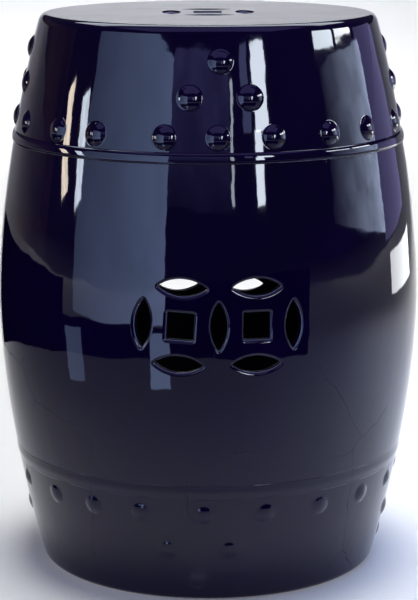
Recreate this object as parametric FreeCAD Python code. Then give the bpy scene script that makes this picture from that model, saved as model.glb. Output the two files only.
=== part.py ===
import FreeCAD
import Part
import math
import os

# A ceramic garden stool: a hollow barrel of glazed stoneware, luted together from thrown
# sections, pierced with coins, bound with two strings of clay and set with domed studs.
# Sizes are in millimetres. +Z is up, the foot stands on Z = 0 and one double coin faces -Y.

# The barrel's outline
stool_height = 457.0
belly_height = 222.0
belly_radius = 174.5
foot_radius = 139.4
seat_radius = 137.0
barrel_power = 1.73
outline_step = 28.0

# Walls and the laps where one section is luted to the next
wall_thickness = 9.0
lap_height = 5.0
slip_film = 0.2
foot_ring_height = 14.0
foot_ring_width = 17.0
foot_edge_radius = 7.5
foot_inner_edge_radius = 3.0
lower_seam_height = 96.0
upper_seam_drop = 98.3

# The seat disc, which laps into the shoulder like a lid
seat_thickness = 11.0
seat_rim_radius = 6.5
seat_spigot_depth = 4.0
seat_spigot_width = 7.0

# Strings of clay over the two outer seams
upper_band_height = 9.0
upper_band_rise = 1.8
lower_band_height = 7.0
lower_band_rise = 1.5
band_edge = 0.5

# Coils of clay pressed over the seams inside
seam_coil_height = 12.0
seam_coil_rise = 4.0
seat_coil_leg = 8.0

# The coin piercings
coin_square = 21.5
coin_lens_length = 39.0
coin_lens_width = 13.5
coin_lens_radius = 30.0
front_coins_rise = 9.5
back_coins_rise = 5.0
back_coins_turn = 176.5
left_coin_tilt = 3.0
right_coin_tilt = 0.5

# Studs, as base radius and rise above the wall
upper_stud_radius = 9.0
upper_stud_rise = 3.8
lower_stud_radius = 8.0
lower_stud_rise = 3.0

# Rows of studs, measured from the string beside them, and the triangles beyond each row
upper_row_gap = 15.3
upper_pair_step = 29.5
upper_apex_step = 27.0
lower_row_gap = 19.0
lower_pair_step = 31.3
lower_apex_step = 27.0

# Hand-set angles in degrees, from the front towards +X: one half turn of each row, which
# the other half repeats, and each triangle's pair and apex
upper_row_angles = (-51.0, -36.0, -15.0, 0.0, 16.0, 34.0, 50.0, 70.0, 90.0, 109.0)
lower_row_angles = (-54.0, -38.0, -22.5, -4.0, 14.0, 31.5, 49.0, 67.0, 86.0, 106.0)
upper_pair_angles = (-8.0, 9.5)
upper_apex_angle = 1.0
lower_pair_angles = (-15.0, 3.5)
lower_apex_angle = -6.0
triangle_turns = {"front": 0.0, "right": 90.0, "back": 180.0, "left": 270.0}

full_turn = 360.0
half_turn = 180.0
cutter_margin = 20.0
edge_tolerance = 0.05

upper_seam_height = stool_height - upper_seam_drop
shoulder_top = stool_height - seat_thickness
origin = FreeCAD.Vector(0, 0, 0)
up = FreeCAD.Vector(0, 0, 1)


def barrel_radius(height):
    """Radius of the barrel's outside at a height above the floor."""
    if height < belly_height:
        span = belly_height
        end_radius = foot_radius
    else:
        span = stool_height - belly_height
        end_radius = seat_radius
    share = abs(height - belly_height) / span
    return belly_radius - (belly_radius - end_radius) * share ** barrel_power


def inner_radius(height):
    """Radius of the barrel's inside at a height above the floor."""
    return barrel_radius(height) - wall_thickness


def lap_radius(height):
    """Radius of the face where one section laps inside the next, half way through the wall."""
    return barrel_radius(height) - wall_thickness / 2


def point(radius, height):
    """A point of a turned section."""
    return FreeCAD.Vector(radius, 0, height)


def outline(start, end, inset):
    """The barrel's curve between two heights, moved inwards by an inset."""
    steps = max(2, round(abs(end - start) / outline_step))
    heights = [start + (end - start) * i / steps for i in range(steps + 1)]
    curve = Part.BSplineCurve()
    curve.interpolate([point(barrel_radius(height) - inset, height) for height in heights])
    return curve.toShape()


def lines(*points):
    """Straight edges through points in order."""
    return [Part.makeLine(a, b) for a, b in zip(points, points[1:])]


def turned(edges):
    """A closed section turned right round the stool's axis."""
    return Part.Face(Part.Wire(edges)).revolve(origin, up, full_turn)


def lap_top(seam):
    """Edges over a section's upper end: a ledge, then a tongue that rises inside the next section."""
    return lines(
        point(barrel_radius(seam), seam),
        point(lap_radius(seam), seam),
        point(lap_radius(seam + lap_height), seam + lap_height),
        point(inner_radius(seam + lap_height), seam + lap_height),
    )


def lap_bottom(seam):
    """Edges under a section's lower end: a rebate that takes the tongue of the one below."""
    return lines(
        point(inner_radius(seam + lap_height), seam + lap_height),
        point(lap_radius(seam + lap_height) + slip_film, seam + lap_height),
        point(lap_radius(seam) + slip_film, seam),
        point(barrel_radius(seam), seam),
    )


def edges_at(solid, height, nearest_radius):
    """The circular edge at a height whose radius is nearest to the one given."""
    level = [e for e in solid.Edges if isinstance(e.Curve, Part.Circle)
             and abs(e.Curve.Center.z - height) < edge_tolerance]
    return [min(level, key=lambda e: abs(e.Curve.Radius - nearest_radius))]


def foot_ring():
    """The thick ring of clay that the stool stands on."""
    ring_inner = foot_radius - foot_ring_width
    edges = [outline(0, foot_ring_height, 0)]
    edges += lap_top(foot_ring_height)
    edges += lines(
        point(inner_radius(foot_ring_height + lap_height), foot_ring_height + lap_height),
        point(ring_inner, foot_ring_height),
        point(ring_inner, 0),
        point(foot_radius, 0),
    )
    ring = turned(edges)
    ring = ring.makeFillet(foot_edge_radius, edges_at(ring, 0, foot_radius))
    return ring.makeFillet(foot_inner_edge_radius, edges_at(ring, 0, ring_inner))


def barrel_section(bottom_seam, top_seam):
    """A thrown wall with a rebate at its lower end and a tongue at its upper end."""
    edges = [outline(bottom_seam, top_seam, 0)]
    edges += lap_top(top_seam)
    edges.append(outline(top_seam + lap_height, bottom_seam + lap_height, wall_thickness))
    edges += lap_bottom(bottom_seam)
    return turned(edges)


def shoulder_wall():
    """The wall between the upper string and the seat, level at the top to carry the disc."""
    edges = [outline(upper_seam_height, shoulder_top, 0)]
    edges += lines(
        point(barrel_radius(shoulder_top), shoulder_top),
        point(inner_radius(shoulder_top), shoulder_top),
    )
    edges.append(outline(shoulder_top, upper_seam_height + lap_height, wall_thickness))
    edges += lap_bottom(upper_seam_height)
    return turned(edges)


def lens_face():
    """A pointed oval between two arcs, lying along X about the origin in the XZ plane."""
    left = FreeCAD.Vector(-coin_lens_length / 2, 0, 0)
    right = FreeCAD.Vector(coin_lens_length / 2, 0, 0)
    top = FreeCAD.Vector(0, 0, coin_lens_width / 2)
    bottom = FreeCAD.Vector(0, 0, -coin_lens_width / 2)
    arcs = [Part.Arc(left, top, right).toShape(), Part.Arc(right, bottom, left).toShape()]
    return Part.Face(Part.Wire(arcs))


def square_face():
    """The coin's square hole about the origin in the XZ plane."""
    half = coin_square / 2
    corners = [(-half, -half), (half, -half), (half, half), (-half, half), (-half, -half)]
    return Part.Face(Part.makePolygon([FreeCAD.Vector(x, 0, z) for x, z in corners]))


def coin_shapes(centre, tilt, lens_sides):
    """One coin's holes as (face, position along, position up) about its own centre."""
    turn = math.radians(tilt)
    square = square_face()
    square.rotate(origin, FreeCAD.Vector(0, 1, 0), tilt)
    shapes = [(square, centre, 0.0)]
    for side in lens_sides:
        lens = lens_face()
        lens.rotate(origin, FreeCAD.Vector(0, 1, 0), tilt + 90.0 - side)
        along = coin_lens_radius * math.cos(math.radians(side) - turn)
        rise = coin_lens_radius * math.sin(math.radians(side) - turn)
        shapes.append((lens, centre + along, rise))
    return shapes


def double_coin_shapes():
    """Two coins side by side that share the upright lens between them."""
    left = coin_shapes(-coin_lens_radius, left_coin_tilt, (90.0, 180.0, 270.0))
    right = coin_shapes(coin_lens_radius, right_coin_tilt, (90.0, 0.0, 270.0))
    shared = lens_face()
    shared.rotate(origin, FreeCAD.Vector(0, 1, 0), 90.0)
    return left + right + [(shared, 0.0, 0.0)]


def belly_cutters(turn, rise_above_belly):
    """Prisms that pierce the belly square to its wall, wrapped round it from one facing."""
    height = belly_height + rise_above_belly
    depth = wall_thickness + 2 * cutter_margin
    cutters = []
    for face, along, rise in double_coin_shapes():
        face.translate(FreeCAD.Vector(0, -belly_radius - cutter_margin, height + rise))
        prism = face.extrude(FreeCAD.Vector(0, depth, 0))
        prism.rotate(origin, up, turn + math.degrees(along / belly_radius))
        cutters.append(prism)
    return cutters


def belly_wall():
    """The barrel's middle section with a double coin pierced through the front and the back."""
    wall = barrel_section(lower_seam_height, upper_seam_height)
    front = belly_cutters(0.0, front_coins_rise)
    back = belly_cutters(back_coins_turn, back_coins_rise)
    return wall.cut(front + back)


def seat_disc():
    """The flat seat with its rounded rim, its spigot ring below and one coin pierced through."""
    spigot_outer = inner_radius(shoulder_top) - slip_film
    spigot_inner = spigot_outer - seat_spigot_width
    spigot_bottom = shoulder_top - seat_spigot_depth
    edges = [outline(shoulder_top, stool_height, 0)]
    edges += lines(
        point(seat_radius, stool_height),
        point(0, stool_height),
        point(0, shoulder_top),
        point(spigot_inner, shoulder_top),
        point(spigot_inner, spigot_bottom),
        point(spigot_outer, spigot_bottom),
        point(spigot_outer, shoulder_top),
        point(barrel_radius(shoulder_top), shoulder_top),
    )
    disc = turned(edges)
    disc = disc.makeFillet(seat_rim_radius, edges_at(disc, stool_height, seat_radius))
    cutters = []
    for face, along, rise in coin_shapes(0.0, 0.0, (0.0, 90.0, 180.0, 270.0)):
        face.translate(FreeCAD.Vector(along, 0, rise))
        prism = face.extrude(FreeCAD.Vector(0, seat_thickness + 2 * cutter_margin, 0))
        prism.rotate(origin, FreeCAD.Vector(1, 0, 0), 90.0)
        prism.translate(FreeCAD.Vector(0, 0, shoulder_top - cutter_margin))
        cutters.append(prism)
    return disc.cut(cutters)


def band(seam, height, rise):
    """A string of clay round the outside of a seam, with creased edges and a bowed face."""
    low = seam - height / 2
    high = seam + height / 2
    back_low = point(barrel_radius(low) + slip_film, low)
    back_high = point(barrel_radius(high) + slip_film, high)
    face_low = point(barrel_radius(low) + band_edge, low)
    face_high = point(barrel_radius(high) + band_edge, high)
    bow = Part.Arc(face_low, point(barrel_radius(seam) + rise, seam), face_high).toShape()
    edges = lines(back_low, face_low) + [bow] + lines(face_high, back_high)
    edges.append(outline(high, low, -slip_film))
    return turned(edges)


def seam_coil(seam):
    """A half-round coil pressed over the end of a lap, inside the barrel."""
    middle = seam + lap_height
    low = middle - seam_coil_height / 2
    high = middle + seam_coil_height / 2
    inset = wall_thickness + slip_film
    low_point = point(barrel_radius(low) - inset, low)
    high_point = point(barrel_radius(high) - inset, high)
    bow = Part.Arc(high_point, point(barrel_radius(middle) - inset - seam_coil_rise, middle), low_point)
    return turned([Part.makeLine(low_point, high_point), bow.toShape()])


def seat_coil():
    """A fillet of clay in the corner between the seat's spigot and the shoulder."""
    corner_height = shoulder_top - seat_spigot_depth
    corner = point(inner_radius(corner_height) - slip_film, corner_height)
    low = point(inner_radius(corner_height - seat_coil_leg) - slip_film, corner_height - seat_coil_leg)
    inner = point(corner.x - seat_coil_leg, corner_height)
    return turned(lines(low, corner, inner, low))


def barrel_core():
    """The whole barrel filled in and a slip film larger, to hollow the backs of the studs."""
    edges = [outline(0, stool_height, -slip_film)]
    edges += lines(
        point(barrel_radius(stool_height) + slip_film, stool_height),
        point(0, stool_height),
        point(0, 0),
        point(barrel_radius(0) + slip_film, 0),
    )
    return turned(edges)


def stud_ball(height, base_radius, rise):
    """A ball square to the front wall, so far out that its cap has the stud's base and rise."""
    ball_radius = (base_radius ** 2 + rise ** 2) / (2 * rise)
    lean = math.atan2(barrel_radius(height - base_radius) - barrel_radius(height + base_radius),
                      2 * base_radius)
    out = barrel_radius(height) - (ball_radius - rise) * math.cos(lean)
    ball = Part.makeSphere(ball_radius, origin, up)
    ball.rotate(origin, FreeCAD.Vector(1, 0, 0), 90.0 - math.degrees(lean))
    ball.translate(FreeCAD.Vector(0, -out, height - (ball_radius - rise) * math.sin(lean)))
    return ball


def stud_group(places, base_radius, rise):
    """Separate domed studs, each hollowed behind at the front, then turned to its place."""
    core = barrel_core()
    caps = []
    for angle, height in places:
        cap = stud_ball(height, base_radius, rise).cut(core).Solids[0]
        cap.rotate(origin, up, angle)
        caps.append(cap)
    return Part.makeCompound(caps)


def row(angles, height):
    """Places right round a row: the hand-set half turn, then the same again."""
    return [(angle + turn, height) for turn in (0.0, half_turn) for angle in angles]


def triangle(turn, pair_angles, pair_height, apex_angle, apex_height):
    """Places of the pair and the apex that make a triangle with three studs of the row."""
    return [(turn + angle, pair_height) for angle in pair_angles] + [(turn + apex_angle, apex_height)]


def all_nodes():
    """Every piece of the stool by name."""
    upper_row_height = upper_seam_height + upper_row_gap
    upper_pair_height = upper_row_height + upper_pair_step
    upper_apex_height = upper_pair_height + upper_apex_step
    lower_row_height = lower_seam_height - lower_row_gap
    lower_pair_height = lower_row_height - lower_pair_step
    lower_apex_height = lower_pair_height - lower_apex_step
    nodes = {
        "seat_disc": seat_disc(),
        "shoulder_wall": shoulder_wall(),
        "belly_wall": belly_wall(),
        "foot_wall": barrel_section(foot_ring_height, lower_seam_height),
        "foot_ring": foot_ring(),
        "upper_band": band(upper_seam_height, upper_band_height, upper_band_rise),
        "lower_band": band(lower_seam_height, lower_band_height, lower_band_rise),
        "seat_seam_coil": seat_coil(),
        "upper_seam_coil": seam_coil(upper_seam_height),
        "lower_seam_coil": seam_coil(lower_seam_height),
        "upper_row_studs": stud_group(
            row(upper_row_angles, upper_row_height), upper_stud_radius, upper_stud_rise),
        "lower_row_studs": stud_group(
            row(lower_row_angles, lower_row_height), lower_stud_radius, lower_stud_rise),
    }
    for side, turn in triangle_turns.items():
        upper = triangle(turn, upper_pair_angles, upper_pair_height, upper_apex_angle, upper_apex_height)
        lower = triangle(turn, lower_pair_angles, lower_pair_height, lower_apex_angle, lower_apex_height)
        nodes[side + "_upper_triangle_studs"] = stud_group(upper, upper_stud_radius, upper_stud_rise)
        nodes[side + "_lower_triangle_studs"] = stud_group(lower, lower_stud_radius, lower_stud_rise)
    return nodes


os.makedirs("parts", exist_ok=True)
for name, shape in all_nodes().items():
    shape.exportStep(os.path.join("parts", name + ".step"))
    print(name, "solids", len(shape.Solids), "valid", shape.isValid(), "volume", round(shape.Volume))
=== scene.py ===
import math
import random

import bmesh
import bpy
from mathutils import Matrix, Vector


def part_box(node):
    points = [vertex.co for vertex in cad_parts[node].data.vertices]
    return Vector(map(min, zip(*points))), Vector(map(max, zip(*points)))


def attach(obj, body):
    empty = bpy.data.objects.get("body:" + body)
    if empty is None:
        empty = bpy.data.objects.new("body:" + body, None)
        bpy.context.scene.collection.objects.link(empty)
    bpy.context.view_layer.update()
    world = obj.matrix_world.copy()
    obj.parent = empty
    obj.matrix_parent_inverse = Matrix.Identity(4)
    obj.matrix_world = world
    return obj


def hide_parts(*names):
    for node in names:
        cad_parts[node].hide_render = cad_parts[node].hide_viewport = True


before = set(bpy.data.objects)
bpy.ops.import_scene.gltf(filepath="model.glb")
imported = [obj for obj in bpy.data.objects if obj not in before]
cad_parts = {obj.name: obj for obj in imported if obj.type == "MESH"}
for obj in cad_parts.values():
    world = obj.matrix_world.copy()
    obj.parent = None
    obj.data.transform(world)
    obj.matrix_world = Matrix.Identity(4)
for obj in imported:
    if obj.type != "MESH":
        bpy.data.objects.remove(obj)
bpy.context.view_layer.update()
scene = bpy.context.scene
mm = 0.001
weld = 0.001 * mm       # points nearer than this are one point
print("frame loaded with", len(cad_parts), "nodes")

# The camera stands where the photo's stood: a little left of the coins' middle, looking down
photoCamera = {"turn": -2.75, "distance": 1.767, "height": 0.591, "pitch": 11.98, "yaw": 0.027,
               "lens": 85.88, "film": 24.0}


def addCamera(settings):
    lens = bpy.data.cameras.new("photoCamera")
    lens.sensor_fit = "VERTICAL"
    lens.sensor_height = settings["film"]
    lens.lens = settings["lens"]
    camera = bpy.data.objects.new("photoCamera", lens)
    turn = math.radians(settings["turn"])
    camera.location = (settings["distance"] * math.sin(turn),
                       -settings["distance"] * math.cos(turn), settings["height"])
    camera.rotation_euler = (math.radians(90 - settings["pitch"]), 0,
                             math.radians(settings["turn"] - settings["yaw"]))
    scene.collection.objects.link(camera)
    scene.camera = camera


addCamera(photoCamera)
print("camera set")


def srgb(code):
    parts = [int(code[i:i + 2], 16) / 255 for i in (1, 3, 5)]
    linear = [c / 12.92 if c <= 0.04045 else ((c + 0.055) / 1.055) ** 2.4 for c in parts]
    return tuple(linear) + (1.0,)


def addNode(material, kind, settings=None, inputs=None):
    node = material.node_tree.nodes.new(kind)
    for name, value in (settings or {}).items():
        setattr(node, name, value)
    for name, value in (inputs or {}).items():
        if isinstance(value, bpy.types.NodeSocket):
            material.node_tree.links.new(value, node.inputs[name])
        else:
            node.inputs[name].default_value = value
    return node


def newMaterial(name):
    material = bpy.data.materials.new(name)
    material.use_nodes = True
    material.node_tree.nodes.clear()
    return material


# Cobalt-glazed stoneware: a clear glassy skin of glaze, fired to a gloss over a buff body. The eye
# gets a near-black violet blue, sharp but wavy reflections, pale edges where the melted glaze ran
# thin, painted paler as a highlight along the hole lips, a few pinholes and hairline cracks, and
# bare cream clay where the foot was wiped.
# The pale lip colour is thinned glaze together with a painted highlight along the hole lips
glaze = {"deep": "#07011a", "blue": "#0e042c", "thinAndHighlight": "#a4a9cf", "clay": "#dccfb2",
         # the dark inside colour is painted shade for the dim inside of the stool
         "insideShade": "#1a1720", "mark": "#0a0714", "cloud": 90 * mm,
         "gloss": 0.035, "clayRough": 0.8, "insideShadeRough": 0.55, "crackRough": 1.0, "index": 1.45,
         "swell": 55 * mm, "swellDepth": 0.55 * mm,      # hand-smoothed waves in the clay
         "ripple": 14 * mm, "rippleDepth": 0.05 * mm,    # small unevenness of the melt
         "streak": 3.5 * mm, "streakDepth": 0.012 * mm,  # fine runs down the wall
         "streakSquash": (1.0, 1.0, 0.08),
         "pinholeCell": 17 * mm, "pinhole": 0.35 * mm, "pinholeSoft": 1.8, "pinholePick": 0.72,
         "pinholeDepth": 0.1 * mm,
         # hairlines, drawn wider than real so that they show, in patches low on the wall
         "crackCell": 130 * mm, "crack": 0.5 * mm, "crackWander": 16 * mm, "crackBend": 0.008,
         "crackPatch": 70 * mm, "crackShown": (0.5, 0.56), "crackHeights": (0.24, 0.16),
         "crackMost": 0.8}


def cobaltGlaze():
    m = newMaterial("cobaltGlazedStoneware")
    place = addNode(m, "ShaderNodeTexCoord").outputs["Object"]
    thinAndHighlight = addNode(m, "ShaderNodeAttribute", {"attribute_name": "thinGlazeAndHighlight"}).outputs["Fac"]
    bare = addNode(m, "ShaderNodeAttribute", {"attribute_name": "bareClay"}).outputs["Fac"]
    inside = addNode(m, "ShaderNodeAttribute", {"attribute_name": "paintedInsideShade"}).outputs["Fac"]

    cloud = addNode(m, "ShaderNodeTexNoise", {}, {
        "Vector": place, "Scale": 1 / glaze["cloud"], "Detail": 3.0})
    body = addNode(m, "ShaderNodeMix", {"data_type": "RGBA"}, {
        "Factor": cloud.outputs["Fac"], "A": srgb(glaze["deep"]), "B": srgb(glaze["blue"])})

    pitField = addNode(m, "ShaderNodeTexVoronoi", {}, {
        "Vector": place, "Scale": 1 / glaze["pinholeCell"]})
    pit = addNode(m, "ShaderNodeMapRange", {"interpolation_type": "SMOOTHSTEP"}, {
        "Value": pitField.outputs["Distance"], "From Min": glaze["pinhole"] / glaze["pinholeCell"],
        "From Max": glaze["pinholeSoft"] * glaze["pinhole"] / glaze["pinholeCell"],
        "To Min": 1.0, "To Max": 0.0})
    pick = addNode(m, "ShaderNodeSeparateColor", {}, {"Color": pitField.outputs["Color"]})
    chosen = addNode(m, "ShaderNodeMath", {"operation": "GREATER_THAN"}, {
        0: pick.outputs["Red"], 1: glaze["pinholePick"]})
    pinhole = addNode(m, "ShaderNodeMath", {"operation": "MULTIPLY"}, {
        0: pit.outputs["Result"], 1: chosen.outputs["Value"]}).outputs["Value"]

    wander = addNode(m, "ShaderNodeTexNoise", {}, {
        "Vector": place, "Scale": 1 / glaze["crackWander"], "Detail": 2.0})
    bent = addNode(m, "ShaderNodeMix", {"data_type": "VECTOR"}, {
        "Factor": glaze["crackBend"], "A": place, "B": wander.outputs["Color"]})
    crackField = addNode(m, "ShaderNodeTexVoronoi", {"feature": "DISTANCE_TO_EDGE"}, {
        "Vector": bent.outputs["Result"], "Scale": 1 / glaze["crackCell"]})
    line = addNode(m, "ShaderNodeMapRange", {"interpolation_type": "SMOOTHSTEP"}, {
        "Value": crackField.outputs["Distance"], "From Min": 0.0,
        "From Max": glaze["crack"] / glaze["crackCell"], "To Min": 1.0, "To Max": 0.0})
    patch = addNode(m, "ShaderNodeTexNoise", {}, {
        "Vector": place, "Scale": 1 / glaze["crackPatch"], "Detail": 0.0})
    shown = addNode(m, "ShaderNodeMapRange", {}, {
        "Value": patch.outputs["Fac"], "From Min": glaze["crackShown"][0],
        "From Max": glaze["crackShown"][1], "To Min": 0.0, "To Max": 1.0})
    spot = addNode(m, "ShaderNodeSeparateXYZ", {}, {"Vector": place})
    low = addNode(m, "ShaderNodeMapRange", {}, {
        "Value": spot.outputs["Z"], "From Min": glaze["crackHeights"][0],
        "From Max": glaze["crackHeights"][1], "To Max": glaze["crackMost"]})
    lowShown = addNode(m, "ShaderNodeMath", {"operation": "MULTIPLY"}, {
        0: shown.outputs["Result"], 1: low.outputs["Result"]})
    crack = addNode(m, "ShaderNodeMath", {"operation": "MULTIPLY"}, {
        0: line.outputs["Result"], 1: lowShown.outputs["Value"]}).outputs["Value"]

    marks = addNode(m, "ShaderNodeMath", {"operation": "MAXIMUM"}, {
        0: pinhole, 1: crack}).outputs["Value"]
    marked = addNode(m, "ShaderNodeMix", {"data_type": "RGBA"}, {
        "Factor": marks, "A": body.outputs["Result"], "B": srgb(glaze["mark"])})
    # painted highlight: the hole lips turn pale, for thinned glaze and the highlight that lies on
    # them
    lipsPaintedPale = addNode(m, "ShaderNodeMix", {"data_type": "RGBA"}, {
        "Factor": thinAndHighlight, "A": marked.outputs["Result"], "B": srgb(glaze["thinAndHighlight"])})
    # painted shade: the inside faces get a dark colour that stands for the dim inside
    insideShaded = addNode(m, "ShaderNodeMix", {"data_type": "RGBA"}, {
        "Factor": inside, "A": lipsPaintedPale.outputs["Result"], "B": srgb(glaze["insideShade"])})
    wiped = addNode(m, "ShaderNodeMix", {"data_type": "RGBA"}, {
        "Factor": bare, "A": insideShaded.outputs["Result"], "B": srgb(glaze["clay"])})

    rough = addNode(m, "ShaderNodeMapRange", {}, {
        "Value": bare, "To Min": glaze["gloss"], "To Max": glaze["clayRough"]})
    roughInside = addNode(m, "ShaderNodeMapRange", {}, {
        "Value": inside, "To Min": rough.outputs["Result"], "To Max": glaze["insideShadeRough"]})
    roughCracked = addNode(m, "ShaderNodeMapRange", {}, {
        "Value": crack, "To Min": roughInside.outputs["Result"], "To Max": glaze["crackRough"]})

    swell = addNode(m, "ShaderNodeTexNoise", {}, {
        "Vector": place, "Scale": 1 / glaze["swell"], "Detail": 1.0})
    ripple = addNode(m, "ShaderNodeTexNoise", {}, {
        "Vector": place, "Scale": 1 / glaze["ripple"], "Detail": 1.0})
    drawn = addNode(m, "ShaderNodeMapping", {}, {"Vector": place, "Scale": glaze["streakSquash"]})
    streak = addNode(m, "ShaderNodeTexNoise", {}, {
        "Vector": drawn.outputs["Vector"], "Scale": 1 / glaze["streak"], "Detail": 2.0})
    waves = addNode(m, "ShaderNodeBump", {}, {
        "Strength": 1.0, "Distance": glaze["swellDepth"], "Height": swell.outputs["Fac"]})
    melt = addNode(m, "ShaderNodeBump", {}, {
        "Strength": 1.0, "Distance": glaze["rippleDepth"], "Height": ripple.outputs["Fac"],
        "Normal": waves.outputs["Normal"]})
    runs = addNode(m, "ShaderNodeBump", {}, {
        "Strength": 1.0, "Distance": glaze["streakDepth"], "Height": streak.outputs["Fac"],
        "Normal": melt.outputs["Normal"]})
    pits = addNode(m, "ShaderNodeBump", {"invert": True}, {
        "Strength": 1.0, "Distance": glaze["pinholeDepth"], "Height": pinhole,
        "Normal": runs.outputs["Normal"]})

    skin = addNode(m, "ShaderNodeBsdfPrincipled", {}, {
        "Base Color": wiped.outputs["Result"], "Roughness": roughCracked.outputs["Result"],
        "IOR": glaze["index"], "Normal": pits.outputs["Normal"]})
    addNode(m, "ShaderNodeOutputMaterial", {}, {"Surface": skin.outputs["BSDF"]})
    return m


# Bare fired stoneware, wiped smooth by hand: matt cream clay with fine dark grog
clay = {"pale": "#d8cab0", "warm": "#b9a283", "cloud": 30 * mm, "rough": 0.85,
        "speck": "#6b5640", "grog": 2.4 * mm, "grain": (0.08, 0.2), "grainMost": 0.7,
        "wipe": 1.5 * mm, "wipeDepth": 0.1 * mm, "wipeStrength": 0.6}


def bareStoneware():
    m = newMaterial("bareFiredStoneware")
    place = addNode(m, "ShaderNodeTexCoord").outputs["Object"]
    cloud = addNode(m, "ShaderNodeTexNoise", {}, {
        "Vector": place, "Scale": 1 / clay["cloud"], "Detail": 4.0})
    body = addNode(m, "ShaderNodeMix", {"data_type": "RGBA"}, {
        "Factor": cloud.outputs["Fac"], "A": srgb(clay["pale"]), "B": srgb(clay["warm"])})
    grog = addNode(m, "ShaderNodeTexVoronoi", {}, {"Vector": place, "Scale": 1 / clay["grog"]})
    grain = addNode(m, "ShaderNodeMapRange", {}, {
        "Value": grog.outputs["Distance"], "From Min": clay["grain"][0],
        "From Max": clay["grain"][1], "To Min": clay["grainMost"], "To Max": 0.0})
    speckled = addNode(m, "ShaderNodeMix", {"data_type": "RGBA"}, {
        "Factor": grain.outputs["Result"], "A": body.outputs["Result"], "B": srgb(clay["speck"])})
    wipe = addNode(m, "ShaderNodeTexNoise", {}, {
        "Vector": place, "Scale": 1 / clay["wipe"], "Detail": 3.0})
    tooth = addNode(m, "ShaderNodeBump", {}, {
        "Strength": clay["wipeStrength"], "Distance": clay["wipeDepth"],
        "Height": wipe.outputs["Fac"]})
    skin = addNode(m, "ShaderNodeBsdfPrincipled", {}, {
        "Base Color": speckled.outputs["Result"], "Roughness": clay["rough"],
        "Normal": tooth.outputs["Normal"]})
    addNode(m, "ShaderNodeOutputMaterial", {}, {"Surface": skin.outputs["BSDF"]})
    return m


glazeMaterial = cobaltGlaze()
clayMaterial = bareStoneware()
print("materials made")

# The barrel's outline, swelling from the foot to the belly and closing to the seat
barrel = {"height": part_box("seat_disc")[1].z, "bellyHeight": 222 * mm, "bellyRadius": 174.4 * mm,
          "footRadius": 139.4 * mm, "seatRadius": 137 * mm, "power": 1.73, "wall": 9 * mm,
          "ringTop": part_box("foot_wall")[0].z, "lowerSeam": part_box("belly_wall")[0].z,
          "upperSeam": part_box("shoulder_wall")[0].z, "seatUnder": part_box("shoulder_wall")[1].z,
          "sides": 256, "step": 6 * mm}


def barrelRadius(height):
    below = height < barrel["bellyHeight"]
    span = barrel["bellyHeight"] if below else barrel["height"] - barrel["bellyHeight"]
    endRadius = barrel["footRadius"] if below else barrel["seatRadius"]
    share = abs(height - barrel["bellyHeight"]) / span
    return barrel["bellyRadius"] - (barrel["bellyRadius"] - endRadius) * share ** barrel["power"]


def barrelSlope(height):
    reach = 0.1 * mm
    return (barrelRadius(height + reach) - barrelRadius(height - reach)) / (2 * reach)


def outwardNormal(place):
    slope = barrelSlope(place.z)
    flat = math.hypot(place.x, place.y)
    return Vector((place.x / flat, place.y / flat, -slope)).normalized()


# A flat plate's X becomes arc round the belly, its Y the depth and its Z the height
def wrapOnBarrel(verts):
    for v in verts:
        angle = v.co.x / barrel["bellyRadius"]
        reach = barrelRadius(v.co.z) + v.co.y
        v.co = (reach * math.sin(angle), -reach * math.cos(angle), v.co.z)


# Where the glaze is thin with a painted highlight, wiped off, or inside and painted dark as shade,
# as attributes that the glaze reads
edges = {"paleLipFrom": 1.2 * mm, "paleLipFull": 1.7 * mm, "paleLipTo": 2.1 * mm, "paleLipEnd": 2.6 * mm,
         "wipeFull": 1.4 * mm, "wipeEnd": 2.2 * mm, "insideShadeFrom": 4 * mm, "insideShadeFull": 6 * mm,
         "skin": 0.004 * mm, "lipStart": 0.01 * mm, "seatCoin": 60 * mm}


def ramp(value, start, end):
    return min(1.0, max(0.0, (value - start) / (end - start)))


def settleSurface(mesh, pierced):
    normals, thinAndHighlight, bare, insideShade = [], [], [], []
    for v in mesh.vertices:
        flat = math.hypot(v.co.x, v.co.y)
        depth = barrelRadius(v.co.z) - flat
        top = barrel["height"] - v.co.z
        normal = Vector((0, 0, 0))
        if abs(depth) < edges["skin"]:
            normal = outwardNormal(v.co)
        elif abs(depth - barrel["wall"]) < edges["skin"]:
            normal = -outwardNormal(v.co)
        elif top < weld:
            normal = Vector((0, 0, 1))
        normals.append(normal)
        # the pale lip share round the holes: thinned glaze with a painted highlight
        lip = top if pierced == "seat" else depth
        isLip = (pierced and lip > edges["lipStart"]
                 and (pierced == "belly" or flat < edges["seatCoin"]))
        thinAndHighlight.append(ramp(lip, edges["paleLipFrom"], edges["paleLipFull"])
                    * (1 - ramp(lip, edges["paleLipTo"], edges["paleLipEnd"])) if isLip else 0.0)
        insideShade.append(ramp(min(depth, top), edges["insideShadeFrom"], edges["insideShadeFull"]))
        bare.append(1 - ramp(v.co.z, edges["wipeFull"], edges["wipeEnd"]))
    for name, values in (("thinGlazeAndHighlight", thinAndHighlight), ("bareClay", bare), ("paintedInsideShade", insideShade)):
        layer = mesh.attributes.new(name, "FLOAT", "POINT")
        layer.data.foreach_set("value", values)
    mesh.normals_split_custom_set_from_vertices(normals)


def finishPiece(form, name, node, pierced=""):
    bmesh.ops.remove_doubles(form, verts=form.verts[:], dist=weld)
    bmesh.ops.recalc_face_normals(form, faces=form.faces[:])
    for face in form.faces:
        face.smooth = True
    mesh = bpy.data.meshes.new(name)
    form.to_mesh(mesh)
    form.free()
    settleSurface(mesh, pierced)
    mesh.materials.append(glazeMaterial)
    piece = bpy.data.objects.new(name, mesh)
    scene.collection.objects.link(piece)
    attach(piece, "root")
    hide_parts(node)
    print(name, "has", len(mesh.polygons), "faces")
    return piece


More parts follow.
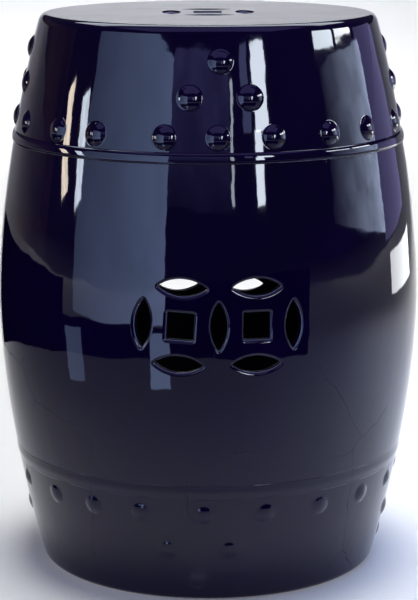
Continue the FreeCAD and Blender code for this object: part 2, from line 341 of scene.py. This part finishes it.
# A closed outline of radius and height, spun round the stool's axis
def spin(outline, sides):
    form = bmesh.new()
    points = [form.verts.new((radius, 0, height)) for radius, height in outline]
    rim = [form.edges.new(pair) for pair in zip(points, points[1:] + points[:1])]
    bmesh.ops.spin(form, geom=points + rim, cent=(0, 0, 0), axis=(0, 0, 1), angle=2 * math.pi,
                   steps=sides, use_merge=True)
    bmesh.ops.remove_doubles(form, verts=form.verts[:], dist=weld)
    return form


def heights(low, high, step):
    count = max(2, round(abs(high - low) / step))
    return [low + (high - low) * i / count for i in range(count + 1)]


def arc(centre, radius, start, end, steps):
    turns = [math.radians(start + (end - start) * i / steps) for i in range(steps + 1)]
    return [(centre[0] + radius * math.cos(t), centre[1] + radius * math.sin(t)) for t in turns]


def wallOutline(low, high):
    outer = [(barrelRadius(z), z) for z in heights(low, high, barrel["step"])]
    inner = [(barrelRadius(z) - barrel["wall"], z) for z in heights(high, low, barrel["step"])]
    return outer + inner


# The coin piercings, with glaze-rounded lips outside and a smaller wiped edge inside
coins = {"square": 21.5 * mm, "corner": 1.2 * mm, "lensLength": 39 * mm, "lensWidth": 13.5 * mm,
         "tip": 0.9 * mm, "reach": 30 * mm, "lipWidth": 2.7 * mm, "lipDepth": 2.2 * mm,
         "seatLip": 1.8 * mm, "innerLip": 1 * mm, "turnIn": (0.25 * mm, 0.6 * mm), "innerSteps": 3,
         "skim": 0.02 * mm, "lipSteps": 7, "arcSteps": 22, "tipSteps": 6,
         "frontHeight": 231.5 * mm, "backHeight": 227 * mm, "backTurn": 176.5,
         "leftTilt": 3.0, "rightTilt": 0.5, "clear": 3 * mm}


def lensOutline(spread):
    half, width = coins["lensLength"] / 2, coins["lensWidth"] / 2
    bow = (half ** 2 + width ** 2) / (2 * width)
    back = bow - width
    tip = math.sqrt((bow - coins["tip"]) ** 2 - back ** 2)
    lean = math.degrees(math.atan2(back, tip))
    tipRadius, arcRadius = coins["tip"] + spread, bow + spread
    ring = arc((tip, 0), tipRadius, -lean, lean, coins["tipSteps"])[:-1]
    ring += arc((0, -back), arcRadius, lean, 180 - lean, coins["arcSteps"])[:-1]
    ring += arc((-tip, 0), tipRadius, 180 - lean, 180 + lean, coins["tipSteps"])[:-1]
    ring += arc((0, back), arcRadius, 180 + lean, 360 - lean, coins["arcSteps"])[:-1]
    return ring


def squareOutline(spread):
    side = coins["square"] / 2 - coins["corner"]
    corners = ((side, side, 0), (-side, side, 90), (-side, -side, 180), (side, -side, 270))
    ring = []
    for x, z, start in corners:
        ring += arc((x, z), coins["corner"] + spread, start, start + 90, coins["tipSteps"])
    return ring


def lipLevels(lipWidth, wall):
    inner, steps = coins["innerLip"], coins["lipSteps"]
    levels = [(coins["clear"], lipWidth), (coins["skim"], lipWidth)]
    for i in range(1, steps + 1):
        turn = math.pi / 2 * i / steps
        levels.append((-coins["lipDepth"] * (1 - math.cos(turn)), lipWidth * (1 - math.sin(turn))))
    levels += [(-coins["lipDepth"] - depth, 0.0) for depth in coins["turnIn"]]
    for i in range(coins["innerSteps"] + 1):
        turn = math.pi / 2 * i / coins["innerSteps"]
        levels.append((inner - wall - (inner + coins["skim"]) * math.sin(turn),
                       inner * (1 - math.cos(turn))))
    return levels + [(-wall - coins["clear"], inner)]


# One hole's cutter: a ring of the outline, extruded from level to level and placed by a function
def addCutter(form, outline, levels, tilt, place):
    turn = math.radians(tilt)

    def move(verts, depth, spread):
        for v, (x, z) in zip(verts, outline(spread)):
            v.co = place(x * math.cos(turn) + z * math.sin(turn),
                         z * math.cos(turn) - x * math.sin(turn), depth)

    ring = bmesh.ops.create_circle(form, segments=len(outline(0.0)), radius=1.0)["verts"]
    rim = [form.edges.get((a, b)) for a, b in zip(ring, ring[1:] + ring[:1])]
    move(ring, *levels[0])
    bmesh.ops.contextual_create(form, geom=rim)
    for depth, spread in levels[1:]:
        made = bmesh.ops.extrude_edge_only(form, edges=rim)["geom"]
        fresh = set(g for g in made if isinstance(g, bmesh.types.BMVert))
        ring = [next(e.other_vert(v) for e in v.link_edges if e.other_vert(v) in fresh)
                for v in ring]
        rim = [form.edges.get((a, b)) for a, b in zip(ring, ring[1:] + ring[:1])]
        move(ring, depth, spread)
    bmesh.ops.contextual_create(form, geom=rim)


# One coin's holes as (outline, tilt, along, rise), as the potter's cutter left them
def coinHoles(centre, tilt, sides):
    holes = [(squareOutline, tilt, centre, 0.0)]
    for side in sides:
        turn = math.radians(side - tilt)
        holes.append((lensOutline, tilt + 90 - side, centre + coins["reach"] * math.cos(turn),
                      coins["reach"] * math.sin(turn)))
    return holes


def cutWith(form, cutters, name):
    bmesh.ops.recalc_face_normals(cutters, faces=cutters.faces[:])
    bmesh.ops.recalc_face_normals(form, faces=form.faces[:])
    parts = []
    for part, label in ((form, name + "Whole"), (cutters, name + "Cutters")):
        mesh = bpy.data.meshes.new(label)
        part.to_mesh(mesh)
        part.free()
        parts.append(bpy.data.objects.new(label, mesh))
        scene.collection.objects.link(parts[-1])
    whole, tool = parts
    cut = whole.modifiers.new("piercing", "BOOLEAN")
    cut.object = tool
    cut.operation = "DIFFERENCE"
    cut.solver = "EXACT"
    depsgraph = bpy.context.evaluated_depsgraph_get()
    mesh = bpy.data.meshes.new_from_object(whole.evaluated_get(depsgraph))
    result = bmesh.new()
    result.from_mesh(mesh)
    for part in parts:
        bpy.data.meshes.remove(part.data)
    bpy.data.meshes.remove(mesh)
    return result


def bellyWall():
    low, high, girth = barrel["lowerSeam"], barrel["upperSeam"], 2 * math.pi * barrel["bellyRadius"]
    start = -girth / 4      # the joined edge lies at the stool's left, away from the coins
    stand = (Matrix.Translation((start + girth / 2, 0, (low + high) / 2))
             @ Matrix.Rotation(math.pi / 2, 4, "X"))
    size = Matrix.Diagonal((girth / 2, (high - low) / 2, 1, 1))
    plate = bmesh.new()
    bmesh.ops.create_grid(plate, x_segments=round(girth / barrel["step"]),
                          y_segments=round((high - low) / barrel["step"]), size=1,
                          matrix=stand @ size)
    back = bmesh.ops.extrude_face_region(plate, geom=plate.faces[:])["geom"]
    bmesh.ops.translate(plate, verts=[v for v in back if isinstance(v, bmesh.types.BMVert)],
                        vec=(0, -barrel["wall"], 0))
    cutters = bmesh.new()
    levels = lipLevels(coins["lipWidth"], barrel["wall"])
    left = coinHoles(-coins["reach"], coins["leftTilt"], (90, 180, 270))
    right = coinHoles(coins["reach"], coins["rightTilt"], (90, 0, 270))
    shared = [(lensOutline, 90, 0.0, 0.0)]
    for turn, height in ((0.0, coins["frontHeight"]), (coins["backTurn"], coins["backHeight"])):
        for outline, tilt, along, rise in left + right + shared:
            middle = along + math.radians(turn) * barrel["bellyRadius"]

            def place(x, z, depth):
                widen = barrel["bellyRadius"] / (barrel["bellyRadius"] + depth)
                return Vector((middle + x * widen, depth, height + rise + z))

            addCutter(cutters, outline, levels, tilt, place)
    wall = cutWith(plate, cutters, "belly")
    near = 10 * weld
    ends = [f for f in wall.faces if all(abs(v.co.x - start) < near for v in f.verts)
            or all(abs(v.co.x - start - girth) < near for v in f.verts)]
    bmesh.ops.delete(wall, geom=ends, context="FACES")
    wrapOnBarrel(wall.verts)
    finishPiece(wall, "belly_wall_glazed", "belly_wall", pierced="belly")


# The flat seat with its rounded rim, and a spigot that drops inside the shoulder
seat = {"rimWidth": 7 * mm, "rimHeight": 10.5 * mm, "rimSteps": 14, "leanBelow": 2 * mm,
        "rimGap": 0.5 * mm, "flat": 80 * mm, "spigotDepth": 4 * mm, "spigotWidth": 7 * mm,
        "slip": 0.2 * mm}


def seatDisc():
    top, under = barrel["height"], barrel["seatUnder"]
    lean = math.degrees(math.atan(-barrelSlope(top - seat["leanBelow"])))
    wide, tall = seat["rimWidth"], seat["rimHeight"]
    start = math.degrees(math.atan(tall / wide * math.tan(math.radians(lean))))
    rise = tall * math.sin(math.radians(start))
    middle = barrelRadius(top - tall + rise) - wide * math.cos(math.radians(start))
    rim = [(middle + x * wide, top - tall + z * tall)
           for x, z in arc((0, 0), 1, start, 90, seat["rimSteps"])]
    wall = [(barrelRadius(z), z)
            for z in heights(under, rim[0][1] - seat["rimGap"], barrel["step"])]
    spigotOuter = barrelRadius(under) - barrel["wall"] - seat["slip"]
    spigotInner, spigotEnd = spigotOuter - seat["spigotWidth"], under - seat["spigotDepth"]
    spigot = [(spigotInner, under), (spigotInner, spigotEnd), (spigotOuter, spigotEnd),
              (spigotOuter, under)]
    outline = wall + rim + [(seat["flat"], top), (0, top), (0, under)] + spigot
    disc = spin(outline, barrel["sides"])
    cutters = bmesh.new()
    levels = lipLevels(coins["seatLip"], top - under)
    for hole, tilt, along, rise in coinHoles(0.0, 0.0, (0, 90, 180, 270)):
        addCutter(cutters, hole, levels, tilt,
                  lambda x, z, depth: Vector((along + x, rise + z, top + depth)))
    finishPiece(cutWith(disc, cutters, "seat"), "seat_disc_glazed", "seat_disc", pierced="seat")


# The ring that stands on the floor, glazed down to a wiped line
footRing = {"width": 17 * mm, "outerEdge": 7.5 * mm, "innerEdge": 3 * mm, "leanAbove": 2 * mm,
            "edgeGap": 0.5 * mm, "step": 2 * mm, "outerSteps": 10, "innerSteps": 5}


def footPieces():
    lean = math.degrees(math.atan(barrelSlope(footRing["leanAbove"])))
    outerEdge, innerEdge = footRing["outerEdge"], footRing["innerEdge"]
    tangent = outerEdge * math.tan(math.radians((90 - lean) / 2))
    inside = barrel["footRadius"] - footRing["width"]
    edge = arc((barrel["footRadius"] - tangent, outerEdge), outerEdge, -90, -lean,
               footRing["outerSteps"])
    wallFoot = edge[-1][1] + footRing["edgeGap"]
    wall = [(barrelRadius(z), z) for z in heights(wallFoot, barrel["ringTop"], footRing["step"])]
    innerArc = arc((inside + innerEdge, innerEdge), innerEdge, 180, 270, footRing["innerSteps"])
    outline = edge + wall + [(barrelRadius(barrel["ringTop"]) - barrel["wall"], barrel["ringTop"]),
                             (inside, barrel["ringTop"])] + innerArc
    finishPiece(spin(outline, barrel["sides"]), "foot_ring_glazed", "foot_ring")
    finishPiece(spin(wallOutline(barrel["ringTop"], barrel["lowerSeam"]), barrel["sides"]),
                "foot_wall_glazed", "foot_wall")


# Strings of clay over the seams: the upper one crisp, the lower one softened by its glaze
strings = {"upper_band": {"seam": "upperSeam", "height": 9 * mm, "rise": 1.8 * mm, "crisp": 3.0},
           "lower_band": {"seam": "lowerSeam", "height": 12 * mm, "rise": 0.55 * mm, "crisp": 0.0}}
stringForm = {"steps": 24, "shoulder": 0.6, "proud": 0.02 * mm, "sunk": 1 * mm}


def clayString(node):
    settings = strings[node]
    seam, height = barrel[settings["seam"]], settings["height"]
    outline = []
    for i in range(stringForm["steps"] + 1):
        across = -1 + 2 * i / stringForm["steps"]
        if settings["crisp"]:
            share = (1 - abs(across) ** settings["crisp"]) ** stringForm["shoulder"]
            rise = settings["rise"] * share
        else:
            rise = settings["rise"] * math.cos(across * math.pi / 2) ** 2
        z = seam + across * height / 2
        outline.append((barrelRadius(z) + rise + stringForm["proud"], z))
    outline += [(barrelRadius(z) - stringForm["sunk"], z)
                for z in (seam + height / 2, seam - height / 2)]
    finishPiece(spin(outline, barrel["sides"]), node + "_glazed", node)


# Domed studs, each pressed on by hand and drowned in glaze at its foot
studs = {"upper": {"radius": 9.3 * mm, "rise": 3.5 * mm, "fillet": 4 * mm},
         "lower": {"radius": 8 * mm, "rise": 2.1 * mm, "fillet": 6 * mm}}
studForms = {"turns": 32, "domeSteps": 9, "filletSteps": 6, "sunk": 0.6 * mm, "seed": 7,
             "scale": (0.97, 1.02), "lift": (0.93, 1.0)}     # how much the potter's studs vary
rows = {
    "upper": {"row": 374 * mm, "pair": 403.5 * mm, "apex": 430.5 * mm,
              "angles": (-51, -36, -15, 0, 16, 34, 50, 70, 90, 109), "pairAngles": (-8, 9.5),
              "apexAngle": 1},
    "lower": {"row": 77 * mm, "pair": 45.7 * mm, "apex": 18.7 * mm,
              "angles": (-54, -38, -22.5, -4, 14, 31.5, 49, 67, 86, 106), "pairAngles": (-15, 3.5),
              "apexAngle": -6}}
triangleTurns = {"front": 0, "right": 90, "back": 180, "left": 270}


def studForm(level):
    s = studs[level]
    ball = (s["radius"] ** 2 + s["rise"] ** 2) / (2 * s["rise"])
    drop, fillet = ball - s["rise"], s["fillet"]
    foot = math.sqrt((ball + fillet) ** 2 - (drop + fillet) ** 2)
    lean = math.degrees(math.atan2(drop + fillet, foot))
    outline = arc((0, -drop), ball, 90, lean, studForms["domeSteps"])
    outline += arc((foot, fillet), fillet, 180 + lean, 270, studForms["filletSteps"])[1:]
    outline += [(foot, -studForms["sunk"]), (0, -studForms["sunk"])]
    return spin(outline, studForms["turns"])


def pressOn(form, dome, angle, height, scale, lift):
    added = form.verts[:]
    mesh = bpy.data.meshes.new("stud")
    dome.to_mesh(mesh)
    form.from_mesh(mesh)
    bpy.data.meshes.remove(mesh)
    form.verts.ensure_lookup_table()
    lean = math.atan(barrelSlope(height))
    for v in form.verts[len(added):]:
        z = height + v.co.y * scale * math.cos(lean)
        turn = math.radians(angle) + v.co.x * scale / barrelRadius(height)
        slope = barrelSlope(z)
        out = v.co.z * (lift if v.co.z > 0 else 1) / math.hypot(1, slope)
        reach = barrelRadius(z) + out
        v.co = (reach * math.sin(turn), -reach * math.cos(turn), z - out * slope)


def studGroup(node, level, places, hand):
    dome = studForm(level)
    form = bmesh.new()
    for angle, height in places:
        scale, lift = hand.uniform(*studForms["scale"]), hand.uniform(*studForms["lift"])
        pressOn(form, dome, angle, height, scale, lift)
    dome.free()
    finishPiece(form, node + "_glazed", node)


def allStuds():
    hand = random.Random(studForms["seed"])
    for level, r in rows.items():
        places = [(angle + turn, r["row"]) for turn in (0, 180) for angle in r["angles"]]
        studGroup(level + "_row_studs", level, places, hand)
        for side, turn in triangleTurns.items():
            places = [(turn + angle, r["pair"]) for angle in r["pairAngles"]]
            places.append((turn + r["apexAngle"], r["apex"]))
            studGroup(f"{side}_{level}_triangle_studs", level, places, hand)


seatDisc()
finishPiece(spin(wallOutline(barrel["upperSeam"], barrel["seatUnder"]), barrel["sides"]),
            "shoulder_wall_glazed", "shoulder_wall")
bellyWall()
footPieces()
for name in strings:
    clayString(name)
allStuds()
for name in ("seat_seam_coil", "upper_seam_coil", "lower_seam_coil"):
    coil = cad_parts[name]
    coil.data.materials.clear()
    coil.data.materials.append(clayMaterial)
print("pieces made")

# A plain pale studio: a paper floor and sweep, washed with soft light from above and all round
studio = {"floor": "#f5f5f5", "rough": 0.9, "front": 9.0, "side": 9.0, "back": 2.6, "curve": 0.5,
          "rise": 0.9, "curveSteps": 24, "room": "#3c3d42", "roomLevel": 0.5,
          "reach": 2.4, "glossShade": "#0a0a0c", "flagSteps": 24}
# The washes light the floor and the stool, and don't show in the gloss. Place, aim and size are in
# metres, lean is a turn of the lamp in its own plane, and spread is in degrees.
washes = {
    "sweep": {"place": (0.2, 1.55, 1.6), "aim": (0.2, 1.55, 0.0), "size": (1.5, 3.5), "level": 34.0,
              "spread": 30, "lean": 7},
    "backdrop": {"place": (0.0, 2.0, 2.4), "aim": (0.0, 3.1, 0.7), "size": (1.2, 0.4),
                 "level": 20.0, "spread": 60},
    "right": {"place": (0.62, 0.0, 1.3), "aim": (0.62, 0.0, 0.0), "size": (0.5, 0.9), "level": 17.0,
              "spread": 60, "tint": "#b4ccff"},
    "front": {"place": (0.0, -3.0, 0.9), "aim": (0.0, 0.0, 0.25), "size": (4.0, 1.6), "level": 2.2,
              "tint": "#b8c4ff"},
    "leftSide": {"place": (-3.0, 0.0, 0.9), "aim": (0.0, 0.0, 0.25), "size": (3.0, 1.6),
                 "level": 1.2},
    "rightSide": {"place": (3.0, 0.0, 0.9), "aim": (0.0, 0.0, 0.25), "size": (3.0, 1.6),
                  "level": 1.2},
    "ceiling": {"place": (0.0, 0.0, 3.6), "aim": (0.0, 0.0, 0.0), "size": (8.0, 8.0), "level": 0.2}}
# The reflectors are what the gloss shows: az is degrees round from the camera's side, wide is in
# degrees too, z and reach are metres, fade and rise are the share of the level at each end, and
# cloud is how patchy it is. Without a reach, one stands at the studio's.
reflectors = {
    "overhead": {"place": (0.1, 0.98, 2.1), "aim": (0.1, 0.98, 0.0), "size": (3.2, 1.3),
                 "level": 5.5, "tint": "#eaf2ff"},
    "ceilingFront": {"place": (0.0, -0.95, 2.1), "aim": (0.0, -0.95, 0.0), "size": (3.2, 1.5),
                     "level": 1.0, "tint": "#a9a0ff"},
    "paleLeft": {"az": -47.5, "wide": 52, "z": (0.003, 1.04), "reach": 1.42, "level": 4.1,
                 "tint": "#aec7ff", "fade": (0.32, 1.0), "cloud": 0.12},
    "footLeft": {"az": -67, "wide": 10, "z": (0.003, 0.13), "reach": 0.6, "level": 1.6,
                 "tint": "#aec7ff"},
    "footFront": {"az": -22, "wide": 9.5, "z": (0.003, 0.145), "reach": 0.58, "level": 3.6,
                  "tint": "#aec7ff"},
    "stripLeftA": {"az": -88.3, "wide": 4.2, "z": (0.41, 0.91), "level": 18, "tint": "#ffeeda",
                   "lean": 27, "cloud": 0.3},
    "stripLeftB": {"az": -76.6, "wide": 4.6, "z": (0.42, 0.95), "level": 20, "tint": "#e2eeff",
                   "lean": 22, "cloud": 0.3},
    "dimFront": {"az": -5, "wide": 34, "z": (0.6, 1.5), "reach": 2.5, "level": 1.3,
                 "tint": "#a3a6ff", "rise": (0.15, 1.0), "cloud": 0.4},
    "stripFrontThin": {"az": 13.4, "wide": 1.5, "z": (0.6, 1.28), "level": 10, "tint": "#e4eeff"},
    "stripFrontDim": {"az": 22.5, "wide": 5, "z": (0.95, 1.42), "level": 2.2, "tint": "#aebcff"},
    "stripFrontHigh": {"az": 32, "wide": 8.6, "z": (0.95, 1.4), "level": 24, "tint": "#e6f0ff"},
    "stripFrontLow": {"az": 28.6, "wide": 4.4, "z": (0.6, 0.96), "level": 24, "tint": "#e6f0ff"},
    "paleRight": {"az": 92.5, "wide": 40, "z": (0.26, 0.98), "level": 6.2, "tint": "#cbdcff",
                  "fade": (0.02, 1.0), "cloud": 0.45, "lean": -8},
    "windowRightA": {"az": 81, "wide": 17, "z": (1.08, 1.36), "level": 20, "tint": "#e8f4ff",
                     "lean": -9},
    "windowRightB": {"az": 100, "wide": 16, "z": (0.97, 1.27), "level": 20, "tint": "#f4f8ff",
                     "lean": -9},
    "dimRight": {"az": 124, "wide": 26, "z": (0.1, 1.0), "level": 0.9, "tint": "#b6b0ff"},
    "whiteRight": {"az": 126, "wide": 26, "z": (0.003, 0.12), "reach": 1.5, "level": 6,
                   "tint": "#f8fbff"},
    "dimLeft": {"az": -122, "wide": 50, "z": (0.05, 1.3), "level": 0.14, "tint": "#c0906c",
                "cloud": 0.8}}
# Black flags round the front and left show only in the gloss and keep the pale floor out of it:
# painted shade in the reflections, standing for floor that lies in the stool's shadow
shadeFlags = {"left": {"az": (-148, -76), "reach": 0.8, "height": 0.2},
         "frontLeft": {"az": (-76, -20.5), "reach": 0.8, "height": 0.118},
         "front": {"az": (-20.5, 50), "reach": 0.8, "height": 0.25}}
# The clouds of a patchy lamp, across its own face
patches = {"scale": 3.0, "detail": 3.0, "from": 0.35, "to": 0.6}


# A lamp can fade from its left to its right or its bottom to its top, and be patchy like a curtain
def shadeLamp(light, s):
    light.use_nodes = True
    glow = light.node_tree.nodes["Emission"]
    across = addNode(light, "ShaderNodeNewGeometry").outputs["Parametric"]
    spot = addNode(light, "ShaderNodeSeparateXYZ", {}, {"Vector": across})
    fade, rise = s.get("fade", (1.0, 1.0)), s.get("rise", (1.0, 1.0))
    along = addNode(light, "ShaderNodeMapRange", {}, {
        "Value": spot.outputs["X"], "To Min": fade[0], "To Max": fade[1]})
    up = addNode(light, "ShaderNodeMapRange", {}, {
        "Value": spot.outputs["Y"], "To Min": rise[0], "To Max": rise[1]})
    patch = addNode(light, "ShaderNodeTexNoise", {}, {
        "Vector": across, "Scale": patches["scale"], "Detail": patches["detail"]})
    cloud = addNode(light, "ShaderNodeMapRange", {}, {
        "Value": patch.outputs["Fac"], "From Min": patches["from"], "From Max": patches["to"],
        "To Min": 1 - s.get("cloud", 0.0)})
    faded = addNode(light, "ShaderNodeMath", {"operation": "MULTIPLY"}, {
        0: along.outputs["Result"], 1: up.outputs["Result"]})
    whole = addNode(light, "ShaderNodeMath", {"operation": "MULTIPLY"}, {
        0: faded.outputs["Value"], 1: cloud.outputs["Result"]})
    light.node_tree.links.new(whole.outputs["Value"], glow.inputs["Strength"])


def addLamp(name, s, inGloss):
    spread = math.radians(s.get("spread", 180))
    if "place" in s:
        middle, aim = Vector(s["place"]), Vector(s["aim"])
        wide, tall = s["size"]
    else:
        turn = math.radians(s["az"] + photoCamera["turn"])
        reach = s.get("reach", studio["reach"])
        low, high = s["z"]
        middle = Vector((reach * math.sin(turn), -reach * math.cos(turn), (low + high) / 2))
        wide, tall = 2 * reach * math.tan(math.radians(s["wide"] / 2)), high - low
        aim = Vector((0, 0, middle.z))
    light = bpy.data.lights.new(name, "AREA")
    light.shape = "RECTANGLE"
    light.size, light.size_y = wide, tall
    light.spread = spread
    light.color = srgb(s.get("tint", "#ffffff"))[:3]
    cone = math.tan(spread / 2)     # a narrow spread is brighter on its axis, which this evens out
    light.energy = s["level"] * math.pi * wide * tall * (cone - spread / 2) / cone
    if "fade" in s or "rise" in s or "cloud" in s:
        shadeLamp(light, s)
    lamp = bpy.data.objects.new(name, light)
    lamp.location = middle
    lamp.rotation_euler = (aim - middle).to_track_quat("-Z", "Y").to_euler()
    lamp.rotation_euler.rotate_axis("Z", math.radians(s.get("lean", 0)))
    lamp.visible_camera = False
    lamp.visible_glossy, lamp.visible_diffuse = inGloss, not inGloss
    scene.collection.objects.link(lamp)


def addStudio():
    curve = arc((studio["back"], studio["curve"]), studio["curve"], -90, 0, studio["curveSteps"])
    top = (studio["back"] + studio["curve"], studio["rise"])
    outline = [(-studio["front"], 0.0)] + curve + [top]
    form = bmesh.new()
    line = [form.verts.new((-studio["side"], y, z)) for y, z in outline]
    run = [form.edges.new(pair) for pair in zip(line, line[1:])]
    side = bmesh.ops.extrude_edge_only(form, edges=run)["geom"]
    bmesh.ops.translate(form, verts=[v for v in side if isinstance(v, bmesh.types.BMVert)],
                        vec=(2 * studio["side"], 0, 0))
    for face in form.faces:
        face.smooth = True
    mesh = bpy.data.meshes.new("paperSweep")
    form.to_mesh(mesh)
    form.free()
    paper = newMaterial("mattBackgroundPaper")      # matt, uncoated studio paper
    skin = addNode(paper, "ShaderNodeBsdfPrincipled", {}, {
        "Base Color": srgb(studio["floor"]), "Roughness": studio["rough"],
        "Specular IOR Level": 0.0})
    addNode(paper, "ShaderNodeOutputMaterial", {}, {"Surface": skin.outputs["BSDF"]})
    mesh.materials.append(paper)
    sweep = bpy.data.objects.new("paperSweep", mesh)
    scene.collection.objects.link(sweep)
    world = bpy.data.worlds.new("dimRoom")
    world.use_nodes = True
    room = world.node_tree.nodes["Background"].inputs
    room["Color"].default_value = srgb(studio["room"])
    room["Strength"].default_value = studio["roomLevel"]
    scene.world = world


# A flag is a near-black sheet seen only in the gloss: painted shade in the reflections
def addShadeFlag(name, s, black):
    start, end = (math.radians(az + photoCamera["turn"]) for az in s["az"])
    steps = studio["flagSteps"]
    form = bmesh.new()
    line = [form.verts.new((s["reach"] * math.sin(turn), -s["reach"] * math.cos(turn), 0))
            for turn in (start + (end - start) * i / steps for i in range(steps + 1))]
    run = [form.edges.new(pair) for pair in zip(line, line[1:])]
    top = bmesh.ops.extrude_edge_only(form, edges=run)["geom"]
    bmesh.ops.translate(form, verts=[v for v in top if isinstance(v, bmesh.types.BMVert)],
                        vec=(0, 0, s["height"]))
    mesh = bpy.data.meshes.new(name)
    form.to_mesh(mesh)
    form.free()
    mesh.materials.append(black)
    flag = bpy.data.objects.new(name, mesh)
    flag.visible_camera = flag.visible_diffuse = False
    flag.visible_shadow = flag.visible_transmission = False
    scene.collection.objects.link(flag)


addStudio()
glossShadeMaterial = newMaterial("paintedGlossShade")      # painted shade: the flags' near-black colour darkens the reflections
glossShade = addNode(glossShadeMaterial, "ShaderNodeBsdfDiffuse", {}, {"Color": srgb(studio["glossShade"])})
addNode(glossShadeMaterial, "ShaderNodeOutputMaterial", {}, {"Surface": glossShade.outputs["BSDF"]})
for name, settings in shadeFlags.items():
    addShadeFlag(name + "Flag", settings, glossShadeMaterial)
for name, settings in washes.items():
    addLamp(name + "Wash", settings, False)
for name, settings in reflectors.items():
    addLamp(name, settings, True)
scene.view_settings.view_transform = "Standard"
print("studio lit")
